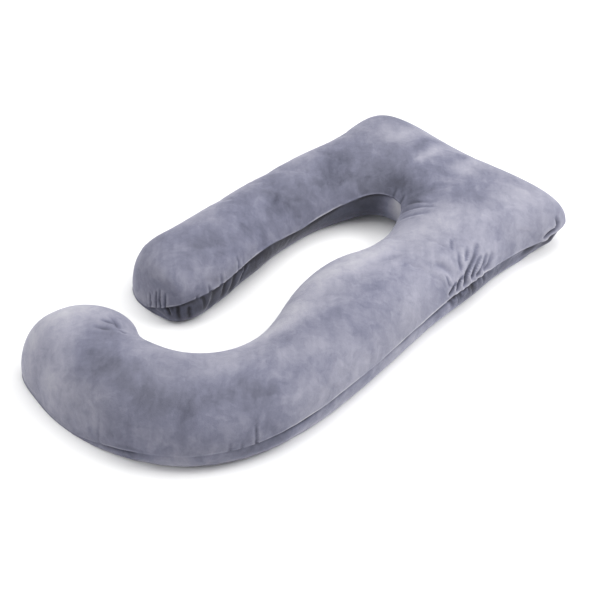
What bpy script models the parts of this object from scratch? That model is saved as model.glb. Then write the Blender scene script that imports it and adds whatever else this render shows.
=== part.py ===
"""Pregnancy pillow in a U with one short straight arm and one long arm that hooks round.

It is one filled cushion: a top panel and an under panel of plush velvet, joined by one seam
round the side. Metres, +Z up, +Y towards the head end, +X towards the long arm. The origin
is on the surface that the pillow lies on, under the middle of its outline.
"""

from collections import namedtuple
from math import ceil, cos, pi, radians, sin

import bmesh
import bpy
import numpy as np

# Driving sizes. Every row of the tables below is a share of these three.
LENGTH = 1.45
WIDTH = 0.75
HEIGHT = 0.165

# How full the two panels are: 2 is an ellipse, and more is squarer.
TOP_SIDE_FULLNESS = 2.4
TOP_CROWN_FULLNESS = 2.1
UNDER_SIDE_FULLNESS = 2.2
UNDER_BELLY_FULLNESS = 2.85
# How far the under panel would hang below the surface if nothing pressed it flat
FLATTENED_DEPTH = 0.023
# How far the stitches draw the seam in, and how wide that valley is
SEAM_DRAW = 0.004
SEAM_VALLEY = 0.016

# The rounded ends: how far they reach past the last section, in half widths of the arm
SHORT_ARM_REACH = 1.32
HOOK_REACH = 0.87
END_FULLNESS = 2.6
END_CROWN_FALL = 0.7
END_STEPS = 9

# A fold's trough: how fast it fades along its run, and the share of its depth that swells beside it
FOLD_FADE = 0.7
FOLD_SWELL = 0.25

# Mesh steps across each panel, and between sections in metres
TOP_STEPS = 18
UNDER_STEPS = 14
UNDER_CROWDING = 1.5
STATION_GAP = 0.024
NEAR_FOLD_GAP = 0.014
FOLD_GAP = 0.006

CLOTH_COLOUR = (0.245, 0.245, 0.345, 1.0)
CLOTH_ROUGHNESS = 0.85
SMOOTH_ANGLE = radians(40)

# One row for each section across the pillow, from the tip of the short arm, round the head
# end and down the long arm to its hook. Each runs from the inner seam to the outer seam,
# x in half widths and y in half lengths from the middle. crown and the two seam heights are
# shares of the height, and gap is the distance to the next mesh station.
Section = namedtuple("Section", "name inner_x inner_y outer_x outer_y crown inner_seam outer_seam gap")
SECTIONS = (
    Section("short arm end", -0.30, -0.14, -0.98, -0.21, 0.95, 0.42, 0.22, STATION_GAP),
    Section("short arm lower", -0.36, 0.04, -0.98, 0.03, 0.92, 0.46, 0.24, STATION_GAP),
    Section("short arm middle", -0.41, 0.20, -0.99, 0.27, 0.90, 0.51, 0.25, STATION_GAP),
    Section("short arm upper", -0.40, 0.34, -0.99, 0.53, 0.90, 0.54, 0.27, STATION_GAP),
    Section("short arm shoulder", -0.32, 0.455, -0.97, 0.77, 0.92, 0.58, 0.28, STATION_GAP),
    Section("head corner, short side", -0.21, 0.53, -0.935, 0.965, 0.98, 0.60, 0.31, STATION_GAP),
    Section("head, short side", -0.06, 0.55, -0.46, 1.005, 1.00, 0.59, 0.35, STATION_GAP),
    Section("head, long side", 0.05, 0.53, 0.20, 1.00, 0.99, 0.55, 0.38, STATION_GAP),
    Section("head corner, long side", 0.105, 0.46, 0.855, 0.96, 0.97, 0.50, 0.40, STATION_GAP),
    Section("long arm shoulder", 0.165, 0.365, 0.88, 0.72, 0.95, 0.46, 0.40, NEAR_FOLD_GAP),
    Section("long arm bulge", 0.18, 0.245, 0.88, 0.47, 0.94, 0.45, 0.39, FOLD_GAP),
    Section("long arm waist", 0.12, 0.11, 0.90, 0.23, 0.95, 0.46, 0.38, STATION_GAP),
    Section("long arm middle", 0.135, -0.055, 0.96, -0.03, 0.96, 0.46, 0.37, STATION_GAP),
    Section("long arm lower", 0.26, -0.215, 1.01, -0.26, 0.95, 0.45, 0.37, STATION_GAP),
    Section("hook start", 0.335, -0.355, 1.015, -0.55, 0.94, 0.43, 0.37, STATION_GAP),
    Section("hook corner", 0.29, -0.475, 0.82, -0.815, 0.94, 0.44, 0.36, STATION_GAP),
    Section("hook outer turn", 0.145, -0.56, 0.44, -0.96, 0.95, 0.45, 0.33, STATION_GAP),
    Section("hook bottom", -0.03, -0.60, 0.05, -0.995, 0.96, 0.47, 0.33, STATION_GAP),
    Section("hook inner turn", -0.17, -0.60, -0.23, -0.99, 0.95, 0.50, 0.32, STATION_GAP),
    Section("hook end", -0.275, -0.585, -0.46, -0.965, 0.96, 0.54, 0.32, STATION_GAP),
)

# One row for each main fold: a soft trough from its start at the seam to where it runs out, on
# the top or the under panel. Metres, about the same middle as the sections.
Fold = namedtuple("Fold", "name panel start_x start_y end_x end_y width depth")
FOLDS = (
    Fold("waist crease 1", "top", 0.336, 0.217, 0.318, 0.240, 0.010, 0.005),
    Fold("waist crease 2", "top", 0.336, 0.240, 0.312, 0.270, 0.010, 0.006),
    Fold("waist crease 3", "top", 0.335, 0.266, 0.296, 0.357, 0.011, 0.008),
    Fold("waist crease 4", "top", 0.335, 0.290, 0.310, 0.350, 0.010, 0.006),
    Fold("waist crease 5", "top", 0.335, 0.312, 0.315, 0.368, 0.011, 0.007),
    Fold("waist crease 6", "top", 0.335, 0.342, 0.320, 0.405, 0.016, 0.006),
    Fold("waist crease 7", "top", 0.322, 0.285, 0.285, 0.330, 0.014, 0.003),
    Fold("head corner dent", "top", 0.352, 0.575, 0.340, 0.630, 0.018, 0.010),
    Fold("head corner hollow", "under", 0.352, 0.560, 0.352, 0.620, 0.030, 0.014),
    Fold("seam pinch by the corner", "under", 0.338, 0.500, 0.342, 0.530, 0.016, 0.005),
    Fold("head turn crease 1", "top", 0.060, 0.335, 0.130, 0.400, 0.020, 0.005),
    Fold("head turn crease 2", "top", 0.075, 0.290, 0.125, 0.335, 0.016, 0.003),
    Fold("hook corner crease 1", "top", -0.060, -0.450, -0.112, -0.500, 0.022, 0.006),
    Fold("hook corner crease 2", "top", -0.095, -0.440, -0.118, -0.550, 0.024, 0.006),
    Fold("short arm end gather 1", "top", -0.155, -0.290, -0.165, -0.245, 0.012, 0.005),
    Fold("short arm end gather 2", "top", -0.180, -0.290, -0.185, -0.240, 0.012, 0.005),
    Fold("short arm end gather 3", "top", -0.210, -0.290, -0.212, -0.250, 0.012, 0.004),
    Fold("short arm inner pucker 1", "under", -0.100, -0.090, -0.130, -0.125, 0.018, 0.006),
    Fold("short arm inner pucker 2", "under", -0.092, -0.140, -0.125, -0.180, 0.018, 0.006),
)


# Where a section's row of sizes holds its inner seam, outer seam, heights and seam heights
INNER = slice(0, 2)
OUTER = slice(2, 4)
HEIGHTS = slice(4, 7)
SEAM_HEIGHTS = slice(5, 7)


def spline_slopes(values, first=None, last=None):
    """Slopes of the smooth curve through evenly numbered rows. An end with no slope runs out straight."""
    count = len(values)
    matrix = np.zeros((count, count))
    right = np.zeros(values.shape)
    for row in range(1, count - 1):
        matrix[row, row - 1:row + 2] = 1, 4, 1
        right[row] = 3 * (values[row + 1] - values[row - 1])
    for row, other, slope in ((0, 1, first), (count - 1, count - 2, last)):
        matrix[row, row] = 2
        if slope is None:
            matrix[row, other] = 1
            right[row] = 3 * abs(other - row) * (values[max(row, other)] - values[min(row, other)])
        else:
            right[row] = 2 * slope
    return np.linalg.solve(matrix, right)


def curve_point(values, slopes, place):
    """Point of the curve at a place counted in rows."""
    row = min(int(place), len(values) - 2)
    part = place - row
    back = 1 - part
    return (
        values[row] * (1 + 2 * part) * back * back
        + values[row + 1] * (1 + 2 * back) * part * part
        + slopes[row] * part * back * back
        - slopes[row + 1] * part * part * back
    )


def outward(section, neighbour):
    """Unit direction square to an end section, away from the rest of the pillow."""
    across = section[OUTER] - section[INNER]
    direction = np.array((-across[1], across[0])) / np.hypot(*across)
    away = section[INNER] + section[OUTER] - neighbour[INNER] - neighbour[OUTER]
    return direction if direction @ away > 0 else -direction


def end_slope(section, neighbour):
    """Slope that makes both seams leave an end section square to it."""
    direction = outward(section, neighbour)
    slope = np.zeros(len(section))
    for side in (INNER, OUTER):
        slope[side] = direction * ((section[side] - neighbour[side]) @ direction)
    return slope


def rounded_end(section, neighbour, reach):
    """Stations of a rounded end, each the section drawn in about its middle, out to a point."""
    direction = outward(section, neighbour)
    middle = (section[INNER] + section[OUTER]) / 2
    half = (section[OUTER] - section[INNER]) / 2
    stations = []
    for step in range(1, END_STEPS + 1):
        angle = pi / 2 * step / END_STEPS
        share = max(cos(angle), 0.0) ** (2 / END_FULLNESS) if step < END_STEPS else 0.0
        along = sin(angle) ** (2 / END_FULLNESS) * reach * np.hypot(*half)
        centre = middle + direction * along
        station = section.copy()
        station[INNER] = centre - half * share
        station[OUTER] = centre + half * share
        seam = section[SEAM_HEIGHTS].mean()
        station[SEAM_HEIGHTS] = seam + (section[SEAM_HEIGHTS] - seam) * share
        stations.append((station, share))
    return stations


def pillow_stations():
    """Stations along the whole pillow, each a row of sizes and its share of the full section."""
    sizes = np.array((WIDTH / 2, LENGTH / 2, WIDTH / 2, LENGTH / 2, HEIGHT, HEIGHT, HEIGHT))
    rows = np.array([row[1:-1] for row in SECTIONS]) * sizes
    first = -end_slope(rows[0], rows[1])
    last = end_slope(rows[-1], rows[-2])
    slopes = spline_slopes(rows, first, last)
    slopes[:, HEIGHTS] = spline_slopes(rows[:, HEIGHTS])
    body = []
    for number, section in enumerate(SECTIONS[:-1]):
        run = rows[number + 1] - rows[number]
        length = (np.hypot(*run[INNER]) + np.hypot(*run[OUTER])) / 2
        steps = max(2, ceil(length / section.gap))
        for step in range(steps):
            body.append((curve_point(rows, slopes, number + step / steps), 1.0))
    body.append((rows[-1], 1.0))
    short_end = rounded_end(rows[0], rows[1], SHORT_ARM_REACH)
    hook_end = rounded_end(rows[-1], rows[-2], HOOK_REACH)
    return short_end[::-1] + body + hook_end


def section_points(station, share):
    """Closed ring across the pillow: over the top from the inner seam, then back underneath."""
    inner, outer = station[INNER], station[OUTER]
    crown, inner_seam, outer_seam = station[HEIGHTS]
    rise = share ** END_CROWN_FALL if share > 0 else 0.0
    points = []

    def add(across, lift, depth):
        plan = (inner + outer) / 2 + (outer - inner) / 2 * across
        seam = inner_seam + (outer_seam - inner_seam) * (across + 1) / 2
        height = seam + (crown - seam) * rise * lift - (seam + FLATTENED_DEPTH) * rise * depth
        points.append((plan[0], plan[1], max(height, 0.0)))

    for step in range(TOP_STEPS + 1):
        angle = pi * step / TOP_STEPS
        side = abs(cos(angle)) ** (2 / TOP_SIDE_FULLNESS)
        add(side if angle > pi / 2 else -side, max(sin(angle), 0.0) ** (2 / TOP_CROWN_FULLNESS), 0.0)
    for step in range(1, UNDER_STEPS):
        turn = 1 - 2 * step / UNDER_STEPS
        angle = pi / 2 * (1 - abs(turn)) ** UNDER_CROWDING
        side = cos(angle) ** (2 / UNDER_SIDE_FULLNESS)
        add(side if turn > 0 else -side, 0.0, sin(angle) ** (2 / UNDER_BELLY_FULLNESS))
    return points


def pillow_mesh():
    """One closed mesh through all the rings, each tip a single point on the seam."""
    rings = [section_points(*station) for station in pillow_stations()]
    around = len(rings[0])
    mesh = bmesh.new()
    tips = [mesh.verts.new(rings[0][0]), mesh.verts.new(rings[-1][0])]
    rows = [[mesh.verts.new(point) for point in ring] for ring in rings[1:-1]]
    seam_sides = (0, TOP_STEPS)
    for one, other in zip(rows, rows[1:]):
        for place in range(around):
            beside = (place + 1) % around
            mesh.faces.new((one[place], other[place], other[beside], one[beside]))
    for tip, row in zip(tips, (rows[0], rows[-1])):
        for place in range(around):
            mesh.faces.new((tip, row[place], row[(place + 1) % around]))
    bmesh.ops.recalc_face_normals(mesh, faces=mesh.faces)
    panels = {}
    for row in rows:
        for place, vert in enumerate(row):
            panels[vert] = "top" if place <= TOP_STEPS else "under"
    for tip in tips:
        panels[tip] = "top"
    seam = [row[side] for row in rows for side in seam_sides] + tips
    return mesh, panels, seam


def soft_trough(distance, width):
    """Depth share of a trough at a distance from its middle line, with a slight swell beside it."""
    reach = distance / width
    return np.exp(-reach * reach) - FOLD_SWELL * np.exp(-((reach - 2) ** 2))


def fold_depths(points, is_top):
    """How far each point sinks, from the table of folds."""
    depths = np.zeros(len(points))
    for fold in FOLDS:
        start = np.array((fold.start_x, fold.start_y))
        run = np.array((fold.end_x, fold.end_y)) - start
        along = (points[:, :2] - start) @ run / (run @ run)
        held = np.clip(along, 0, 1)
        distance = np.hypot(*(points[:, :2] - start - held[:, None] * run).T)
        fade = np.cos(held * pi / 2) ** FOLD_FADE
        share = soft_trough(distance, fold.width) * fade * (is_top == (fold.panel == "top"))
        depths += fold.depth * share
    return depths


def work_cloth(mesh, panels, seam):
    """Sink the folds and draw the seam in, along the surface's own normals, above the flat underside."""
    mesh.verts.index_update()
    mesh.normal_update()
    verts = list(mesh.verts)
    points = np.array([vert.co for vert in verts])
    normals = np.array([vert.normal for vert in verts])
    is_top = np.array([panels[vert] == "top" for vert in verts])
    seam_points = np.array([vert.co for vert in seam])
    nearest = np.array([np.sqrt(((seam_points - point) ** 2).sum(axis=1).min()) for point in points])
    sink = fold_depths(points, is_top) + SEAM_DRAW * np.exp(-(nearest / SEAM_VALLEY) ** 2)
    sink[points[:, 2] <= 0] = 0
    moved = points - normals * sink[:, None]
    moved[:, 2] = np.maximum(moved[:, 2], 0)
    for vert, point in zip(verts, moved):
        vert.co = point


def centre_on_origin(mesh):
    """Put the origin under the middle of the outline."""
    points = np.array([vert.co for vert in mesh.verts])
    middle = (points.min(axis=0) + points.max(axis=0)) / 2
    for vert in mesh.verts:
        vert.co.x -= middle[0]
        vert.co.y -= middle[1]


def cloth_material():
    """Grey-lavender plush velvet."""
    material = bpy.data.materials.new("plush_velvet")
    material.use_nodes = True
    shader = material.node_tree.nodes["Principled BSDF"]
    shader.inputs["Base Color"].default_value = CLOTH_COLOUR
    shader.inputs["Roughness"].default_value = CLOTH_ROUGHNESS
    shader.inputs["Metallic"].default_value = 0.0
    return material


def make_pillow():
    """The whole pillow as one filled solid."""
    mesh, panels, seam = pillow_mesh()
    work_cloth(mesh, panels, seam)
    centre_on_origin(mesh)
    data = bpy.data.meshes.new("pillow")
    mesh.to_mesh(data)
    mesh.free()
    data.materials.append(cloth_material())
    data.shade_smooth()
    data.set_sharp_from_angle(angle=SMOOTH_ANGLE)
    pillow = bpy.data.objects.new("pillow", data)
    bpy.context.scene.collection.objects.link(pillow)
    return pillow


def main():
    for old in list(bpy.data.objects):
        bpy.data.objects.remove(old, do_unlink=True)
    make_pillow()


main()
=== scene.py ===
"""Plush velvet pregnancy pillow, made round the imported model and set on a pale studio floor."""
from collections import namedtuple
from math import cos, pi, radians, sin

import bpy
import numpy as np
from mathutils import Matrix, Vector
from mathutils.kdtree import KDTree


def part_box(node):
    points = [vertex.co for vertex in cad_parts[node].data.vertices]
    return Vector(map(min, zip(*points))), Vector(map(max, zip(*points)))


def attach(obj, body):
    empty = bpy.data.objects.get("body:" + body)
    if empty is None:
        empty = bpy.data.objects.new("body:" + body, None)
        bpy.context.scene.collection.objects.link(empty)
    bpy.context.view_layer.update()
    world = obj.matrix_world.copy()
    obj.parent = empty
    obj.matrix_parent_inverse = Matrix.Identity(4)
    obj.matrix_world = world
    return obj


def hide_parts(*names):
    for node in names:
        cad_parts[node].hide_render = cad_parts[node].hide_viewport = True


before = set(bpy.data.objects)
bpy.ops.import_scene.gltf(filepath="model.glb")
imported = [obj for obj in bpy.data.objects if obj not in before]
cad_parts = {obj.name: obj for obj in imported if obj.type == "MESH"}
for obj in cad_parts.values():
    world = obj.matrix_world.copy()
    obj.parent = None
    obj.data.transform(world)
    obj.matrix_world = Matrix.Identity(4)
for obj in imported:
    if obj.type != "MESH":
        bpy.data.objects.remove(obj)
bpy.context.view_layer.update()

LOW, HIGH = (np.array(corner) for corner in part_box("pillow"))

# The pillow's size in metres, and how full its cross-sections are: 2 is round, more is squarer
LENGTH = 1.45
WIDTH = 0.75
HEIGHT = 0.165
TOP_SIDE_FULLNESS = 2.4
TOP_CROWN_FULLNESS = 2.1
UNDER_SIDE_FULLNESS = 2.2
UNDER_BELLY_FULLNESS = 2.85
# How far below the ground the under panel would reach if it weren't flattened there
FLATTENED_DEPTH = 0.023
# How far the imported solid's sections reach as drawn, before they are fitted to its box
DRAWN_LOW = np.array((-0.3734, -0.7221, 0.0))
DRAWN_HIGH = np.array((0.3857, 0.7289, 0.165))
# The rounded ends: reach past the last section in half widths, how full the inner and the outer
# side are, and the seam's height at the point as a share of the pillow's
End = namedtuple("End", "reach inner_fullness outer_fullness seam")
SHORT_ARM_END = End(1.08, 7.0, 2.4, 0.05)
HOOK_END = End(1.03, 2.2, 3.5, 0.05)
# The crown falls with this power of the width that is left towards the point
END_CROWN_FALL = 0.7

# Where the under panel is drawn in below the seam, in metres: x, y, reach along x, reach along y,
# how far. Below 0 it is pushed out.
TUCKS = (
    (0.34, 0.59, 0.10, 0.14, 0.022),
    (0.34, 0.42, 0.10, 0.08, 0.008),
    (-0.120, -0.225, 0.05, 0.05, -0.010),
    (-0.120, -0.060, 0.05, 0.05, 0.007),
    (0.010, 0.375, 0.04, 0.04, 0.011),
)
# The share of the under panel's drop at which a tuck is as deep as it gets
TUCK_DEPTH = 0.35

# Mesh steps of the cloth that is simulated, along the body, along each end and across each panel.
# The finished cover has DETAIL times as many each way.
BODY_STEPS = 288
END_STEPS = 24
TOP_STEPS = 46
UNDER_STEPS = 22
DETAIL = 2
# Points for each step of the seam, for each section of the trial curve, and on a profile's curve
SEAM_FINENESS = 4
TRIAL_FINENESS = 40
CURVE_POINTS = 4000
# The relief of seam and creases fades out over this height above the ground
RESTING_BLEND = 0.006
# Where the mesh is closer: at the creased waist of the long arm, at the tips and beside the seams
WAIST_Y = 0.29
WAIST_REACH = 0.095
WAIST_CROWDING = 2.6
TIP_CROWDING = 1.5
SEAM_CROWDING = 2.5
SEAM_CROWD_REACH = 0.012
# Size of a typical section, by which every section shares out its steps
TYPICAL_HALF_WIDTH = 0.13
TYPICAL_RISE = 0.09
# Crowding in the middle of each panel, past the walls. The under panel lies flat there.
WALL_TRAVEL = 0.12
TOP_CROWDING = 1.0
FLAT_CROWDING = 0.3

# The cloth's own settling. The seam's thread is shorter than the cloth, so the cover gathers there.
CLOTH_PRESSURE = 4.0
CLOTH_BENDING = 0.5
CLOTH_FRAMES = 15
SEAM_GATHER = 0.02
GATHER_REACH = 0.012
TOUCHING_HEIGHT = 1e-5
# Its swelling, which this many rounds of smoothing find, is left out. The wrinkles are kept.
SWELL_ROUNDS = 150
WRINKLE_SHARE = 0.7
WRINKLE_CAP = 0.005
# How much of the wrinkles goes where the cover stays smooth, and those places in metres: x, y,
# reach along x, reach along y
SMOOTHED_SHARE = 0.8
SMOOTH_PLACES = (
    (-0.36, 0.22, 0.09, 0.14),
    (0.16, 0.28, 0.08, 0.10),
)

# Cross-sections from the short arm's end round the head to the hook. x and y are shares of half
# the width and half the length, and the crown and the seams are shares of the height.
Section = namedtuple("Section", "name inner_x inner_y outer_x outer_y crown inner_seam outer_seam")
SECTIONS = (
    Section("short arm end", -0.291, -0.195, -0.985, -0.19, 0.95, 0.45, 0.01),
    Section("short arm lower", -0.36, 0.04, -0.985, 0.03, 0.92, 0.51, 0.24),
    Section("short arm middle", -0.41, 0.20, -0.99, 0.27, 0.90, 0.38, 0.25),
    Section("short arm upper", -0.40, 0.34, -0.99, 0.53, 0.90, 0.415, 0.27),
    Section("short arm shoulder", -0.32, 0.455, -0.97, 0.77, 0.92, 0.55, 0.28),
    Section("head corner, short side", -0.21, 0.53, -0.93, 0.982, 0.98, 0.66, 0.31),
    Section("head, short side", -0.06, 0.55, -0.44, 1.005, 1.00, 0.70, 0.35),
    Section("head, long side", 0.05, 0.53, 0.22, 0.998, 0.99, 0.64, 0.38),
    Section("head corner, long side", 0.105, 0.46, 0.845, 0.97, 0.97, 0.52, 0.38),
    Section("long arm shoulder", 0.165, 0.365, 0.875, 0.72, 0.95, 0.46, 0.35),
    Section("long arm bulge", 0.18, 0.245, 0.88, 0.47, 0.94, 0.45, 0.44),
    Section("long arm waist", 0.112, 0.11, 0.90, 0.23, 0.95, 0.46, 0.41),
    Section("long arm middle", 0.145, -0.055, 0.96, -0.03, 0.96, 0.46, 0.37),
    Section("long arm lower", 0.26, -0.215, 1.01, -0.26, 0.95, 0.45, 0.37),
    Section("hook start", 0.335, -0.355, 1.015, -0.55, 0.94, 0.43, 0.35),
    Section("hook corner", 0.29, -0.475, 0.815, -0.805, 0.94, 0.44, 0.33),
    Section("hook outer turn", 0.145, -0.56, 0.43, -0.938, 0.95, 0.45, 0.21),
    Section("hook bottom", -0.03, -0.60, 0.05, -0.973, 0.96, 0.47, 0.05),
    Section("hook inner turn", -0.185, -0.609, -0.23, -0.974, 0.95, 0.50, 0.02),
    Section("hook end", -0.297, -0.587, -0.460, -0.953, 0.96, 0.54, 0.02),
)
# Columns of a section's sizes
INNER = slice(0, 2)
OUTER = slice(2, 4)
HEIGHTS = slice(4, 7)
SEAM_HEIGHTS = slice(5, 7)
OUTER_X, OUTER_Y, CROWN, INNER_SEAM, OUTER_SEAM = 2, 3, 4, 5, 6
PANEL_SIDES = {"top": 1.0, "under": -1.0}

# Creases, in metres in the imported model's frame, with their points in plan or in space. A start
# of 1 begins at full depth, and 0 fades in.
Crease = namedtuple("Crease", "name panel width depth start points")
CREASES = (
    Crease("waist crease 1", "top", 0.0040, 0.0060, 1, (
        (0.325, 0.210), (0.323, 0.225), (0.318, 0.244))),
    Crease("waist crease 2", "top", 0.0042, 0.0070, 1, (
        (0.325, 0.238), (0.320, 0.253), (0.316, 0.272))),
    Crease("waist crease 3", "top", 0.0062, 0.0092, 1, (
        (0.324, 0.269), (0.318, 0.282), (0.311, 0.302), (0.299, 0.332), (0.276, 0.370))),
    Crease("waist crease 4", "top", 0.0058, 0.0080, 1, (
        (0.322, 0.299), (0.315, 0.320), (0.303, 0.354))),
    Crease("waist crease 5", "top", 0.0058, 0.0080, 1, (
        (0.322, 0.320), (0.318, 0.342), (0.305, 0.377))),
    Crease("waist crease 6", "top", 0.0080, 0.0070, 1, (
        (0.320, 0.353), (0.317, 0.372), (0.307, 0.400))),
    Crease("waist crease 7", "top", 0.0050, 0.0038, 0, (
        (0.303, 0.292), (0.287, 0.315), (0.271, 0.336))),
    Crease("waist crease 8", "top", 0.0050, 0.0038, 0, (
        (0.311, 0.270), (0.293, 0.281), (0.268, 0.302))),
    Crease("waist crease 9", "top", 0.0036, 0.0026, 0, ((0.262, 0.284), (0.232, 0.315))),
    Crease("waist crease 10", "top", 0.0036, 0.0026, 0, ((0.300, 0.221), (0.321, 0.216))),
    Crease("waist hollow", "top", 0.0110, 0.0050, 0, (
        (0.260, 0.218), (0.286, 0.232), (0.310, 0.245))),
    Crease("under waist crease 1", "under", 0.0050, 0.0046, 1, (
        (0.335, 0.222), (0.333, 0.232), (0.322, 0.240))),
    Crease("under waist crease 2", "under", 0.0050, 0.0056, 1, (
        (0.335, 0.262), (0.333, 0.274), (0.322, 0.284))),
    Crease("under waist crease 3", "under", 0.0050, 0.0046, 1, (
        (0.334, 0.305), (0.332, 0.318), (0.321, 0.328))),
    Crease("waist fold 1", "under", 0.0060, 0.0050, 1, (
        (0.324, 0.205, 0.072), (0.318, 0.220, 0.045))),
    Crease("waist fold 2", "under", 0.0060, 0.0050, 1, (
        (0.325, 0.245, 0.072), (0.318, 0.254, 0.048))),
    Crease("waist fold 3", "under", 0.0070, 0.0060, 1, (
        (0.323, 0.292, 0.070), (0.315, 0.306, 0.042))),
    Crease("waist fold 4", "under", 0.0050, 0.0040, 1, (
        (0.321, 0.345, 0.068), (0.314, 0.352, 0.046))),
    Crease("head corner crease", "top", 0.0050, 0.0140, 1, (
        (0.330, 0.588, 0.069), (0.330, 0.605, 0.075), (0.331, 0.626, 0.076),
        (0.328, 0.637, 0.089), (0.320, 0.638, 0.105))),
    Crease("head corner hollow", "under", 0.0120, 0.0110, 0, (
        (0.318, 0.600, 0.045), (0.318, 0.622, 0.045), (0.322, 0.645, 0.050))),
    Crease("head corner shade", "top", 0.0070, 0.0040, 0, (
        (0.333, 0.597, 0.055), (0.333, 0.613, 0.060), (0.331, 0.634, 0.062))),
    Crease("head pocket", "under", 0.0080, 0.0070, 0, (
        (0.310, 0.520, 0.045), (0.312, 0.545, 0.045), (0.312, 0.570, 0.045))),
    Crease("tip gather 1", "top", 0.0030, 0.0034, 1, (
        (-0.231, -0.283, 0.018), (-0.229, -0.283, 0.041), (-0.228, -0.283, 0.062))),
    Crease("tip gather 2", "top", 0.0030, 0.0044, 1, (
        (-0.208, -0.284, 0.028), (-0.206, -0.284, 0.054), (-0.202, -0.284, 0.082))),
    Crease("tip gather 3", "top", 0.0028, 0.0040, 1, (
        (-0.192, -0.284, 0.034), (-0.192, -0.284, 0.062), (-0.191, -0.283, 0.094))),
    Crease("tip gather 4", "top", 0.0030, 0.0044, 1, (
        (-0.174, -0.284, 0.040), (-0.173, -0.283, 0.067), (-0.172, -0.282, 0.092))),
    Crease("tip gather 5", "top", 0.0034, 0.0034, 1, (
        (-0.121, -0.227, 0.064), (-0.122, -0.227, 0.084))),
    Crease("tip gather 6", "top", 0.0034, 0.0034, 1, (
        (-0.119, -0.185, 0.070), (-0.123, -0.192, 0.092))),
    Crease("tip fold 1", "under", 0.0040, 0.0070, 1, (
        (-0.172, -0.283, 0.048), (-0.162, -0.283, 0.040), (-0.160, -0.282, 0.026))),
    Crease("tip fold 2", "under", 0.0040, 0.0050, 1, (
        (-0.136, -0.271, 0.056), (-0.137, -0.271, 0.040), (-0.142, -0.265, 0.018))),
    Crease("tip fold 3", "under", 0.0040, 0.0044, 1, (
        (-0.125, -0.251, 0.055), (-0.128, -0.250, 0.038), (-0.134, -0.245, 0.020))),
    Crease("arm fold 1", "under", 0.0070, 0.0050, 1, (
        (-0.120, -0.096, 0.080), (-0.120, -0.106, 0.052), (-0.124, -0.122, 0.030))),
    Crease("arm fold 2", "under", 0.0036, 0.0050, 1, (
        (-0.126, -0.053, 0.080), (-0.125, -0.066, 0.055), (-0.126, -0.072, 0.040))),
    Crease("arm fold 3", "under", 0.0040, 0.0044, 1, (
        (-0.118, -0.132, 0.078), (-0.119, -0.140, 0.050), (-0.121, -0.143, 0.038))),
    Crease("arm fold 4", "under", 0.0090, 0.0050, 1, (
        (-0.119, -0.171, 0.076), (-0.120, -0.184, 0.045), (-0.128, -0.195, 0.019))),
    Crease("arm fold 5", "under", 0.0036, 0.0040, 1, (
        (-0.120, -0.216, 0.068), (-0.122, -0.212, 0.044), (-0.126, -0.210, 0.034))),
    Crease("arm pucker 1", "top", 0.0036, 0.0028, 1, ((-0.117, -0.082), (-0.132, -0.074))),
    Crease("arm pucker 2", "top", 0.0036, 0.0028, 1, ((-0.107, -0.150), (-0.122, -0.144))),
    Crease("arm side notch", "top", 0.0045, 0.0045, 0, ((-0.352, -0.205), (-0.330, -0.190))),
    Crease("arm side pinch 1", "top", 0.0050, 0.0030, 1, ((-0.350, -0.130), (-0.335, -0.125))),
    Crease("arm side pinch 2", "top", 0.0050, 0.0030, 1, ((-0.352, 0.175), (-0.335, 0.182))),
    Crease("arm side pinch 3", "top", 0.0050, 0.0036, 1, ((-0.350, 0.485), (-0.325, 0.495))),
    Crease("turn crease 1", "top", 0.0050, 0.0020, 0, (
        (0.020, 0.378), (0.058, 0.401), (0.096, 0.404))),
    Crease("turn crease 2", "top", 0.0050, 0.0026, 0, (
        (0.026, 0.354), (0.058, 0.374), (0.090, 0.391), (0.126, 0.398))),
    Crease("turn crease 3", "top", 0.0060, 0.0024, 0, (
        (0.052, 0.328), (0.076, 0.344), (0.122, 0.371))),
    Crease("turn pucker 1", "top", 0.0040, 0.0014, 1, ((-0.030, 0.390), (-0.036, 0.412))),
    Crease("turn pucker 2", "top", 0.0040, 0.0016, 1, ((0.000, 0.384), (-0.002, 0.408))),
    Crease("hook crease 1", "top", 0.0060, 0.0042, 0, (
        (-0.133, -0.478), (-0.110, -0.488), (-0.090, -0.489))),
    Crease("hook crease 2", "top", 0.0060, 0.0036, 0, (
        (-0.128, -0.538), (-0.112, -0.527), (-0.098, -0.512))),
    Crease("hook crease 3", "top", 0.0050, 0.0034, 0, (
        (-0.140, -0.508), (-0.124, -0.500), (-0.112, -0.492))),
    Crease("hook crease 4", "top", 0.0040, 0.0034, 0, ((-0.086, -0.494), (-0.070, -0.490))),
    Crease("hook gather 1", "top", 0.0034, 0.0036, 1, (
        (0.362, -0.489), (0.352, -0.482), (0.340, -0.474))),
    Crease("hook gather 2", "top", 0.0034, 0.0020, 1, ((0.338, -0.543), (0.327, -0.535))),
    Crease("hook gather 3", "top", 0.0034, 0.0020, 1, ((0.349, -0.518), (0.339, -0.511))),
    Crease("hook gather 4", "top", 0.0044, 0.0022, 1, (
        (0.072, -0.724), (0.068, -0.708), (0.062, -0.690))),
    Crease("bulge hollow", "top", 0.0110, 0.0034, 0, (
        (0.160, 0.080), (0.180, 0.125), (0.195, 0.170))),
)
# Points along each crease, and over how many of them its place on the cloth is averaged
CREASE_STEPS = 40
LINE_SMOOTHING = 9
# In widths of the crease: how far it reaches, and where the ridges beside it stand
CREASE_REACH = 5
RIDGE_OFFSET = 2.3
# The ridges' height as a share of the depth, and how fast a crease with a start of 0 fades in
RIDGE_SHARE = 0.35
FADE_POWER = 0.7
# Painted shade in the trough and painted light on the crests, full where the depth is so many widths
FULL_SHADING_SLOPE = 2
TROUGH_NARROWING = 1.1
CREST_LIGHT_SHARE = 0.3

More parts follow.
